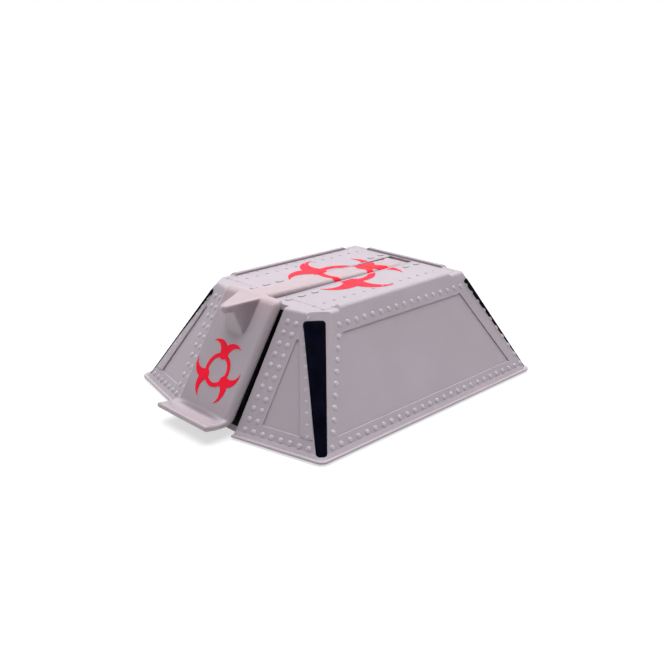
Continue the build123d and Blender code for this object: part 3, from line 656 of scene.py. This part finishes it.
class Nodes:
    """A material's node tree, with short ways to add and join nodes."""

    def __init__(self, name):
        self.material = bpy.data.materials.new(name)
        self.material.use_nodes = True
        self.tree = self.material.node_tree
        self.shader = self.tree.nodes["Principled BSDF"]
        self.place = self.add("ShaderNodeTexCoord").outputs["Object"]

    def add(self, kind, **settings):
        node = self.tree.nodes.new(kind)
        for name, value in settings.items():
            setattr(node, name, value)
        return node

    def join(self, source, target):
        self.tree.links.new(source, target)

    def noise(self, scale, detail=2.0, roughness=0.5, stretch=None):
        """Noise over the object's own place, optionally stretched."""
        node = self.add("ShaderNodeTexNoise")
        node.inputs["Scale"].default_value = scale
        node.inputs["Detail"].default_value = detail
        node.inputs["Roughness"].default_value = roughness
        place = self.place
        if stretch:
            mapping = self.add("ShaderNodeMapping")
            mapping.inputs["Scale"].default_value = stretch
            self.join(place, mapping.inputs["Vector"])
            place = mapping.outputs["Vector"]
        self.join(place, node.inputs["Vector"])
        return node.outputs["Fac"]

    def spread(self, source, low, high, out_low, out_high):
        """Maps low to high onto out_low to out_high, clamped."""
        node = self.add("ShaderNodeMapRange")
        for name, value in (("From Min", low), ("From Max", high), ("To Min", out_low), ("To Max", out_high)):
            node.inputs[name].default_value = value
        self.join(source, node.inputs["Value"])
        return node.outputs["Result"]

    def math(self, operation, *sources):
        """A Math node of one or two outputs."""
        node = self.add("ShaderNodeMath", operation=operation)
        for source, socket in zip(sources, node.inputs):
            self.join(source, socket)
        return node.outputs["Value"]

    def axes(self, source):
        """The X, Y and Z of a vector output."""
        node = self.add("ShaderNodeSeparateXYZ")
        self.join(source, node.inputs["Vector"])
        return node.outputs

    def cloud(self, scale, detail, low=0.0, high=1.0):
        """Noise whose middle values are stretched from low to high."""
        return self.spread(self.noise(scale, detail), 0.3, 0.7, low, high)

    def coat(self, tone, gloss):
        """Joins a tone and a roughness to the shader."""
        self.join(tone, self.shader.inputs["Base Color"])
        self.join(gloss, self.shader.inputs["Roughness"])

    def scaled(self, source, factor):
        """A colour output times a number."""
        node = self.add("ShaderNodeVectorMath", operation="SCALE")
        self.join(source, node.inputs[0])
        node.inputs["Scale"].default_value = factor
        return node.outputs["Vector"]

    def mix(self, factor, first, second):
        """Mixes two colours; either may be a colour or an output."""
        node = self.add("ShaderNodeMix", data_type="RGBA")
        self.join(factor, node.inputs["Factor"])
        for socket, value in ((node.inputs[6], first), (node.inputs[7], second)):
            if isinstance(value, bpy.types.NodeSocket):
                self.join(value, socket)
            else:
                socket.default_value = (*value, 1)
        return node.outputs[2]

    def bump(self, sources):
        """Stacks bumps: each source is (height, strength, distance)."""
        normal = None
        for height, strength, distance in sources:
            node = self.add("ShaderNodeBump")
            node.inputs["Strength"].default_value = strength
            node.inputs["Distance"].default_value = distance
            self.join(height, node.inputs["Height"])
            if normal:
                self.join(normal, node.inputs["Normal"])
            normal = node.outputs["Normal"]
        self.join(normal, self.shader.inputs["Normal"])

    def set(self, **values):
        """Sets the shader's own sockets; underscores stand for spaces."""
        for name, value in values.items():
            self.shader.inputs[name.replace("_", " ")].default_value = value


def shade(base, factor):
    """A colour times a number, or times a number for each channel, kept within one."""
    factors = factor if isinstance(factor, tuple) else (factor,) * 3
    return tuple(min(1.0, channel * times) for channel, times in zip(base, factors))


def moulded(name, base, rough, soft=0.0, specks=False, warm=(1.02, 0.99, 1.0)):
    """Moulded plastic: broad cloudy shifts of tone, fine spark-eroded grain and uneven gloss."""
    nodes = Nodes(name)
    warmer = tuple(channel * times for channel, times in zip(base, warm))
    tone = nodes.mix(nodes.cloud(28, 3), shade(base, 0.955), shade(warmer, 1.035))
    fine = nodes.spread(nodes.noise(620, 2), 0.35, 0.65, 0, 1)
    tone = nodes.mix(fine, nodes.scaled(tone, 0.985), tone)
    if specks:
        tone = specked(nodes, tone)
    nodes.coat(tone, nodes.cloud(90, 4, rough - 0.05, rough + 0.06))
    nodes.bump([(nodes.noise(GRAIN_SCALE, 2), 0.10, GRAIN_DEPTH), (nodes.noise(60, 1), 0.06, WAVE_DEPTH)])
    if soft:
        nodes.set(Subsurface_Weight=soft, Subsurface_Scale=0.0022, Subsurface_Radius=LIGHT_SPREAD)
    nodes.set(Specular_IOR_Level=0.45)
    return nodes.material


def arm_finish(name, base):
    """The arm's plastic, which lets light in. Its colour also holds painted light: pinker and paler at the top of
    the bar and tab and on the pull lip, standing in for light shining through thin plastic, and painted shade on
    the web's sides.

    These places are told by height (the bar and tab above, the pull lip below), the web's sides by facing sideways
    close to the middle and in front of the gate."""
    nodes = Nodes(name)
    x, y, z = nodes.axes(nodes.place)
    # painted light: high marks the top of the bar, tab and gate head, low the pull lip; both get a pinker, paler
    # tone
    high = nodes.spread(z, ORIGIN[2] + 55.0 * MM, ORIGIN[2] + 63.0 * MM, 0, 1)
    low = nodes.spread(z, ORIGIN[2] + 5.0 * MM, ORIGIN[2] + 8.0 * MM, 1, 0)
    tone = nodes.mix(nodes.cloud(30, 3), shade(base, 0.96), shade(base, 1.03))
    # painted glow of light through thin plastic, mixed in at both places
    for thin in (high, low):
        tone = nodes.mix(thin, tone, shade(base, (1.12, 1.03, 1.00)))
    # painted shade on the web's sides under the tab: darker where the surface faces sideways, near the middle and
    # in front of the gate
    facing = nodes.axes(nodes.add("ShaderNodeNewGeometry").outputs["Normal"])
    sideways = nodes.spread(nodes.math("ABSOLUTE", facing["X"]), 0.35, 0.65, 0, 1)
    inner = nodes.spread(nodes.math("ABSOLUTE", x), 10.5 * MM, 12.5 * MM, 1, 0)
    ahead = nodes.spread(y, ORIGIN[1] - 68.0 * MM, ORIGIN[1] - 65.0 * MM, 1, 0)
    thick = nodes.spread(y, ORIGIN[1] - 88.0 * MM, ORIGIN[1] - 76.0 * MM, 0.1, 1)
    web_side_shade = sideways
    for part in (inner, ahead, thick):
        web_side_shade = nodes.math("MULTIPLY", web_side_shade, part)
    tone = nodes.mix(web_side_shade, tone, shade(base, (0.66, 0.60, 0.60)))
    nodes.coat(tone, nodes.cloud(90, 4, 0.36, 0.46))
    nodes.bump([(nodes.noise(GRAIN_SCALE, 2), 0.06, GRAIN_DEPTH), (nodes.noise(60, 1), 0.04, WAVE_DEPTH)])
    nodes.set(Subsurface_Weight=0.4, Subsurface_Scale=0.0020, Subsurface_Radius=LIGHT_SPREAD)
    nodes.set(Specular_IOR_Level=0.4)
    return nodes.material


def specked(nodes, tone):
    """Sparse dark specks moulded into the plastic, where a cell's middle is near and its number is high."""
    cells = nodes.add("ShaderNodeTexVoronoi", feature="F1")
    cells.inputs["Scale"].default_value = 95
    nodes.join(nodes.place, cells.inputs["Vector"])
    near = nodes.spread(cells.outputs["Distance"], 0.035, 0.055, 1, 0)
    split = nodes.add("ShaderNodeSeparateColor")
    nodes.join(cells.outputs["Color"], split.inputs["Color"])
    rare = nodes.spread(split.outputs["Red"], 0.975, 0.98, 0, 1)
    return nodes.mix(nodes.math("MULTIPLY", near, rare), tone, (0.03, 0.03, 0.035))


def painted(name, base):
    """Satin paint with a faint unevenness in tone and gloss."""
    nodes = Nodes(name)
    tone = nodes.mix(nodes.cloud(160, 3), shade(base, 0.93), shade(base, 1.05))
    nodes.coat(tone, nodes.cloud(300, 3, 0.36, 0.50))
    nodes.bump([(nodes.noise(1400, 2), 0.08, 0.00005)])
    nodes.set(Specular_IOR_Level=0.12)
    return nodes.material


def glossy_black(name, base):
    """Polished black moulding with flow lines along the bars and a few faint rubs."""
    nodes = Nodes(name)
    flow = nodes.noise(220, 3, stretch=(1.0, 1.0, 0.12))
    tone = nodes.mix(nodes.spread(flow, 0.35, 0.65, 0, 1), base, shade(base, 2.2))
    nodes.coat(tone, nodes.spread(nodes.noise(140, 4), 0.35, 0.7, 0.16, 0.30))
    nodes.bump([(flow, 0.05, 0.0002)])
    nodes.set(Specular_IOR_Level=0.045)
    return nodes.material


def dull_black(name, base, rough=0.62):
    """Matte black moulding or rubber, with dust in its tone and a coarse grain."""
    nodes = Nodes(name)
    dust = nodes.spread(nodes.noise(240, 5, 0.65), 0.45, 0.75, 0, 1)
    nodes.coat(nodes.mix(dust, base, shade(base, 1.7)), nodes.cloud(400, 3, rough - 0.08, rough + 0.1))
    nodes.bump([(nodes.noise(1300, 2), 0.25, 0.00008)])
    nodes.set(Specular_IOR_Level=0.08)
    return nodes.material


def drawn_steel(name, base):
    """Bright wire and rod: fine lines along X, and a slight stain."""
    nodes = Nodes(name)
    lines = nodes.noise(900, 3, stretch=(0.05, 1.0, 1.0))
    tone = nodes.mix(nodes.spread(lines, 0.3, 0.7, 0, 1), shade(base, 0.82), base)
    nodes.coat(tone, nodes.spread(lines, 0.3, 0.7, 0.22, 0.38))
    nodes.bump([(lines, 0.12, 0.00004)])
    nodes.set(Metallic=1.0)
    return nodes.material


def rivet_finish(name, base):
    """The casing's plastic, a little paler on top, with painted shade at each small rivet's foot where it meets
    the deck, in patches.
    """
    nodes = Nodes(name)
    deck = ORIGIN[2] + MM * DECK_Z
    # painted shade: near black at each rivet's foot, fading out by 0.26 mm above the deck and broken into patches
    # by noise; the rest is 1.05 times the casing's colour, a slight painted highlight
    foot_shade = nodes.spread(nodes.axes(nodes.place)["Z"], deck + 0.04 * MM, deck + 0.26 * MM, 1, 0)
    patchy_foot_shade = nodes.math("MULTIPLY", foot_shade, nodes.spread(nodes.noise(130, 2), 0.35, 0.55, 0.35, 1))
    nodes.coat(nodes.mix(patchy_foot_shade, shade(base, 1.05), (0.05, 0.03, 0.04)), nodes.cloud(90, 4, 0.40, 0.52))
    nodes.bump([(nodes.noise(GRAIN_SCALE, 2), 0.1, GRAIN_DEPTH)])
    return nodes.material


FINISHES = {
    "casing_grey": lambda name, c: moulded(name, c.casing, 0.46, soft=0.12, specks=True),
    "arm_plastic": lambda name, c: arm_finish(name, c.arm),
    "black_gloss": lambda name, c: glossy_black(name, c.black_gloss),
    "black_matte": lambda name, c: dull_black(name, c.black_matte),
    "hazard_red": lambda name, c: painted(name, c.hazard),
    "steel": lambda name, c: drawn_steel(name, c.steel),
    "rubber": lambda name, c: dull_black(name, c.rubber, 0.75),
    "washer_plastic": lambda name, c: moulded(name, c.washer, 0.40),
    # painted highlight: the wall domes are a lighter copy of the casing's plastic, 1.22 times its colour
    "wall_rivet_grey": lambda name, c: moulded(
        name, shade(c.casing, 1.22), 0.40, soft=0.25, warm=(0.98, 1.0, 1.0)
    ),
    "deck_rivet_grey": lambda name, c: rivet_finish(name, c.casing),
}


def finish(name):
    """The finished material of that name, made once."""
    full_name = name + "_finish"
    made = bpy.data.materials.get(full_name)
    return made or FINISHES[name](full_name, bpy.context.scene.sharps_colours)


# ---- studio ----
FLOOR_RADIUS, FLOOR_SIDES = 8, 96               # metres
WALL_DIRECTION = (-0.62, 0.78, 0.05)
WALL_FADE = (-0.55, 0.75)                       # where the room starts to brighten and is brightest


# ---- operators ----
class SHARPS_OT_finishes(bpy.types.Operator):
    """Give every CAD node the finish of its material slot"""

    bl_idname = "sharps.finishes"
    bl_label = "Finishes"

    def execute(self, context):
        slots = {part["node"]: part["material_slot"] for part in frame["record"]["subparts"]}
        for name, node in frame["nodes"].items():
            node.data.materials.clear()
            node.data.materials.append(finish(slots[name]))
        return {"FINISHED"}


class SHARPS_OT_lid_arm(bpy.types.Operator):
    """Build the lid arm as one smooth moulding"""

    bl_idname = "sharps.lid_arm"
    bl_label = "Lid arm"

    def execute(self, context):
        sizes = context.scene.sharps_arm
        low = (-sizes.gate_half_width - 1.5, GATE_FACE_Y - sizes.lip_reach - 2.0, -1.0)
        high = (sizes.gate_half_width + 1.5, HINGE_Y + HINGE_RADIUS + 1.5, DECK_Z + 1.5)
        points, faces = surface_of(lambda p: arm_distance(p, sizes), low, high, sizes.mesh_step)
        if not len(faces):
            raise RuntimeError("the lid arm came out empty")
        arm = new_piece(
            "lid_arm_moulding", in_frame(lifted(points)), faces, "lid", finish("arm_plastic")
        )
        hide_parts("lid_arm")
        return {"FINISHED"}


class SHARPS_OT_bar_paint(bpy.types.Operator):
    """Paint the deck mark over the bar's rounded edges"""

    bl_idname = "sharps.bar_paint"
    bl_label = "Bar paint"

    def execute(self, context):
        points, faces = bar_paint(context.scene.sharps_trim, context.scene.sharps_arm)
        paint = new_piece("bar_mark_paint", points, faces, "lid", finish("hazard_red"))
        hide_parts("bar_hazard_inlay")
        return {"FINISHED"}


class SHARPS_OT_wall_rivets(bpy.types.Operator):
    """Add the rows of domes moulded on the walls"""

    bl_idname = "sharps.wall_rivets"
    bl_label = "Wall rivets"

    def execute(self, context):
        trim = context.scene.sharps_trim
        rows = {
            "wall_rivets_right": (side_rivets(1), wall_frame(SIDE_LEAN, 0, 0)),
            "wall_rivets_left": (side_rivets(-1), wall_frame(SIDE_LEAN, 0, math.pi)),
            "wall_rivets_rear": (rear_rivets(), wall_frame(REAR_LEAN, 0, math.pi / 2)),
            "wall_rivets_front_right": (facet_rivets(1), wall_frame(FRONT_LEAN, PROW_SLOPE, -math.pi / 2)),
            "wall_rivets_front_left": (facet_rivets(-1), wall_frame(FRONT_LEAN, -PROW_SLOPE, -math.pi / 2)),
        }
        material = finish("wall_rivet_grey")
        for name, (places, axes) in rows.items():
            points, faces = domes(places, *axes, trim.wall_rivet_radius, trim.wall_rivet_height)
            new_piece(name, in_frame(points), faces, "casing", material)
        return {"FINISHED"}


class SHARPS_OT_deck_rivets(bpy.types.Operator):
    """Add the small rivets in two rows along each side of the deck"""

    bl_idname = "sharps.deck_rivets"
    bl_label = "Deck rivets"

    def execute(self, context):
        trim = context.scene.sharps_trim
        inner_y = DECK_ROW_START_Y + DECK_ROW_PITCH * np.arange(DECK_ROW_COUNT)
        outer_y = inner_y - DECK_OUTER_SHIFT
        places = [(side * DECK_INNER_X, y, DECK_Z) for side in (-1, 1) for y in inner_y]
        places += [(side * DECK_OUTER_X, y, DECK_Z) for side in (-1, 1) for y in outer_y]
        points, faces = domes(
            np.array(places), *np.eye(3), trim.deck_rivet_radius, trim.deck_rivet_height, around=8
        )
        material = finish("deck_rivet_grey")
        new_piece("deck_rivets", in_frame(points), faces, "casing", material)
        return {"FINISHED"}


class SHARPS_OT_corner_straps(bpy.types.Operator):
    """Add the raised straps beside the front corner bars"""

    bl_idname = "sharps.corner_straps"
    bl_label = "Corner straps"

    def execute(self, context):
        for name, side in (("corner_strap_left", -1), ("corner_strap_right", 1)):
            points, faces = strap(side, context.scene.sharps_trim)
            new_piece(name, points, faces, "casing", finish("casing_grey"))
        return {"FINISHED"}


class SHARPS_OT_stage(bpy.types.Operator):
    """Set the floor, the light and the camera"""

    bl_idname = "sharps.stage"
    bl_label = "Stage"

    def execute(self, context):
        studio = context.scene.sharps_studio
        self.floor(studio)
        self.sky(context.scene, studio)
        self.key_light(studio)
        self.camera(context.scene, studio)
        context.scene.view_settings.view_transform = "Standard"
        return {"FINISHED"}

    def floor(self, studio):
        """A pale round floor, larger than any view of it."""
        turn = np.linspace(0, 2 * math.pi, FLOOR_SIDES, endpoint=False)
        rim = [FLOOR_RADIUS * np.cos(turn), FLOOR_RADIUS * np.sin(turn), np.zeros(FLOOR_SIDES)]
        mesh = bpy.data.meshes.new("floor")
        mesh.from_pydata(np.stack(rim, -1).tolist(), [], [list(range(FLOOR_SIDES))])
        nodes = Nodes("floor_finish")
        tone = nodes.mix(nodes.cloud(3, 2), shade(studio.floor_colour, 0.99), studio.floor_colour)
        nodes.join(tone, nodes.shader.inputs["Base Color"])
        nodes.set(Roughness=0.9, Specular_IOR_Level=0.1, Emission_Strength=studio.floor_glow)
        nodes.set(Emission_Color=(1, 1, 1, 1))
        mesh.materials.append(nodes.material)
        floor = bpy.data.objects.new("floor", mesh)
        bpy.context.scene.collection.objects.link(floor)

    def sky(self, scene, studio):
        """A white wall behind and a dimmer room in front light the object; the view sees plain white."""
        world = bpy.data.worlds.new("studio")
        world.use_nodes = True
        scene.world = world
        tree = world.node_tree
        tree.nodes.clear()
        place = tree.nodes.new("ShaderNodeTexCoord")
        toward = tree.nodes.new("ShaderNodeVectorMath")
        toward.operation = "DOT_PRODUCT"
        toward.inputs[1].default_value = WALL_DIRECTION
        ramp = tree.nodes.new("ShaderNodeMapRange")
        ramp.interpolation_type = "SMOOTHSTEP"
        ramp.inputs["From Min"].default_value, ramp.inputs["From Max"].default_value = WALL_FADE
        ramp.inputs["To Min"].default_value = studio.sky_front
        ramp.inputs["To Max"].default_value = studio.sky_rear
        lit = tree.nodes.new("ShaderNodeBackground")
        seen = tree.nodes.new("ShaderNodeBackground")
        ray = tree.nodes.new("ShaderNodeLightPath")
        mix = tree.nodes.new("ShaderNodeMixShader")
        output = tree.nodes.new("ShaderNodeOutputWorld")
        lit.inputs["Color"].default_value = (0.99, 0.985, 1.0, 1)
        seen.inputs["Color"].default_value = (1, 1, 1, 1)
        links = tree.links
        links.new(place.outputs["Object"], toward.inputs[0])
        links.new(toward.outputs["Value"], ramp.inputs["Value"])
        links.new(ramp.outputs["Result"], lit.inputs["Strength"])
        links.new(ray.outputs["Is Camera Ray"], mix.inputs["Fac"])
        links.new(lit.outputs["Background"], mix.inputs[1])
        links.new(seen.outputs["Background"], mix.inputs[2])
        links.new(mix.outputs["Shader"], output.inputs["Surface"])

    def key_light(self, studio):
        """A broad overhead light, slightly behind and to the left."""
        data = bpy.data.lights.new("overhead", "SUN")
        data.energy = studio.key
        data.angle = math.radians(70)
        light = bpy.data.objects.new("overhead", data)
        light.rotation_euler = (math.radians(-10), math.radians(-8), 0)
        bpy.context.scene.collection.objects.link(light)

    def camera(self, scene, studio):
        """A camera turned by azimuth, elevation and roll."""
        data = bpy.data.cameras.new("view")
        data.sensor_width = 36
        data.lens = studio.lens
        data.clip_start, data.clip_end = 0.01, 100
        camera = bpy.data.objects.new("view", data)
        azimuth, elevation, roll = studio.azimuth, studio.elevation, studio.roll
        level = math.cos(elevation)
        back = np.array([math.sin(azimuth) * level, -math.cos(azimuth) * level, math.sin(elevation)])
        right = np.array([math.cos(azimuth), math.sin(azimuth), 0])
        up = np.cross(back, right)
        rolled_right = right * math.cos(roll) + up * math.sin(roll)
        rolled_up = up * math.cos(roll) - right * math.sin(roll)
        turn = Matrix(np.stack([rolled_right, rolled_up, back], -1).tolist()).to_4x4()
        camera.matrix_world = Matrix.Translation(in_frame(studio.camera_place).tolist()) @ turn
        scene.collection.objects.link(camera)
        scene.camera = camera


class SHARPS_PT_panel(bpy.types.Panel):
    """Lists the container's sizes, finishes and steps"""

    bl_idname = "SHARPS_PT_panel"
    bl_label = "Sharps Container"
    bl_space_type = "VIEW_3D"
    bl_region_type = "UI"
    bl_category = "Sharps Container"

    def draw(self, context):
        for group in GROUPS:
            box = self.layout.box()
            for name in getattr(context.scene, group).__annotations__:
                box.prop(getattr(context.scene, group), name)
        for step in STEPS:
            self.layout.operator(step.bl_idname)


GROUPS = {
    "sharps_arm": SharpsArmSizes,
    "sharps_trim": SharpsTrimSizes,
    "sharps_colours": SharpsColours,
    "sharps_studio": SharpsStudio,
}
STEPS = (
    SHARPS_OT_finishes,
    SHARPS_OT_lid_arm,
    SHARPS_OT_bar_paint,
    SHARPS_OT_wall_rivets,
    SHARPS_OT_deck_rivets,
    SHARPS_OT_corner_straps,
    SHARPS_OT_stage,
)


def register():
    for group in GROUPS.values():
        bpy.utils.register_class(group)
    for name, group in GROUPS.items():
        setattr(bpy.types.Scene, name, bpy.props.PointerProperty(type=group))
    for kind in (*STEPS, SHARPS_PT_panel):
        bpy.utils.register_class(kind)


def unregister():
    for kind in (SHARPS_PT_panel, *reversed(STEPS)):
        bpy.utils.unregister_class(kind)
    for name in GROUPS:
        delattr(bpy.types.Scene, name)
    for group in GROUPS.values():
        bpy.utils.unregister_class(group)


def main():
    register()
    bpy.ops.sharps.finishes()
    bpy.ops.sharps.lid_arm()
    bpy.ops.sharps.bar_paint()
    bpy.ops.sharps.wall_rivets()
    bpy.ops.sharps.deck_rivets()
    bpy.ops.sharps.corner_straps()
    bpy.ops.sharps.stage()


if __name__ == "__main__":
    main()
